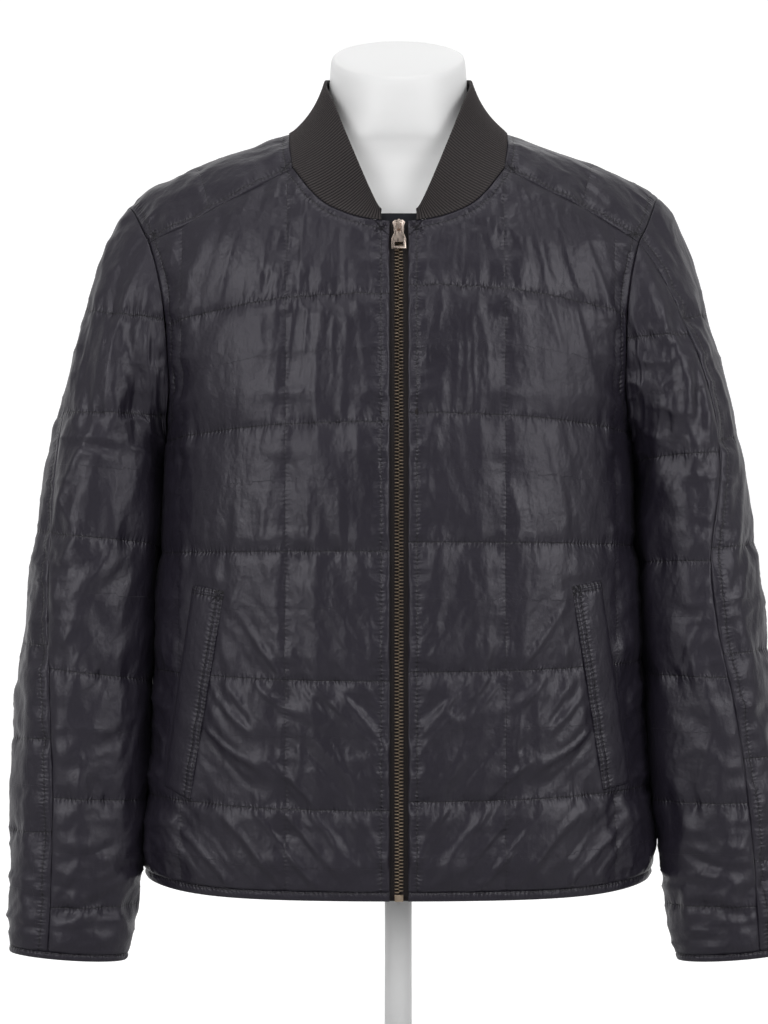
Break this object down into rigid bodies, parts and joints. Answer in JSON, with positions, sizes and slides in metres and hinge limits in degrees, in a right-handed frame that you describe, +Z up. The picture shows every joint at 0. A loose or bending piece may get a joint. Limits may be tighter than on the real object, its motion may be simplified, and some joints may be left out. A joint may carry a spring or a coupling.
{
  "type": "quilted bomber jacket on dress form",
  "caption": "Lightly padded, box-quilted zip jacket with rib-knit collar and slanted pockets, closed on a smooth limbless dress form with pole and round base.",
  "frame": {"origin": "centre of the underside of the form's base, on the surface it stands on", "axes": "+Z up; the jacket's front and zip face -Y; +X is the wearer's left"},
  "size_m": [0.7105, 0.28, 0.9758],
  "materials": {
    "quilted_nylon": "satin charcoal nylon, lightly padded",
    "rib_knit": "matt rib knit",
    "zip_tape": "matt woven tape",
    "antique_brass": "darkened brass",
    "rose_nickel": "rosy nickel plate",
    "form_white": "smooth white"
  },
  "bodies": {
    "jacket_on_form": {"back": "quilted_nylon", "collar": "rib_knit", "cuff_band_left": "quilted_nylon", "cuff_band_right": "quilted_nylon", "form_base": "form_white", "form_pole": "form_white", "form_torso": "form_white", "front_left": "quilted_nylon", "front_right": "quilted_nylon", "hem_band": "quilted_nylon", "pocket_welt_left": "quilted_nylon", "pocket_welt_right": "quilted_nylon", "sleeve_inner_left": "quilted_nylon", "sleeve_inner_right": "quilted_nylon", "sleeve_outer_left": "quilted_nylon", "sleeve_outer_right": "quilted_nylon", "zip_box": "antique_brass", "zip_chain": "antique_brass", "zip_guard": "quilted_nylon", "zip_slider": "rose_nickel", "zip_tape_left": "zip_tape", "zip_tape_right": "zip_tape"},
    "zip_pull": {"zip_pull": "rose_nickel"}
  },
  "joints": [
    {"name": "pull_hinge", "type": "hinge", "parent": "jacket_on_form", "child": "zip_pull", "pos_m": [0, -0.09691, 0.78416], "axis": [-1, 0, 0], "range_deg": [0, 150]}
  ]
}
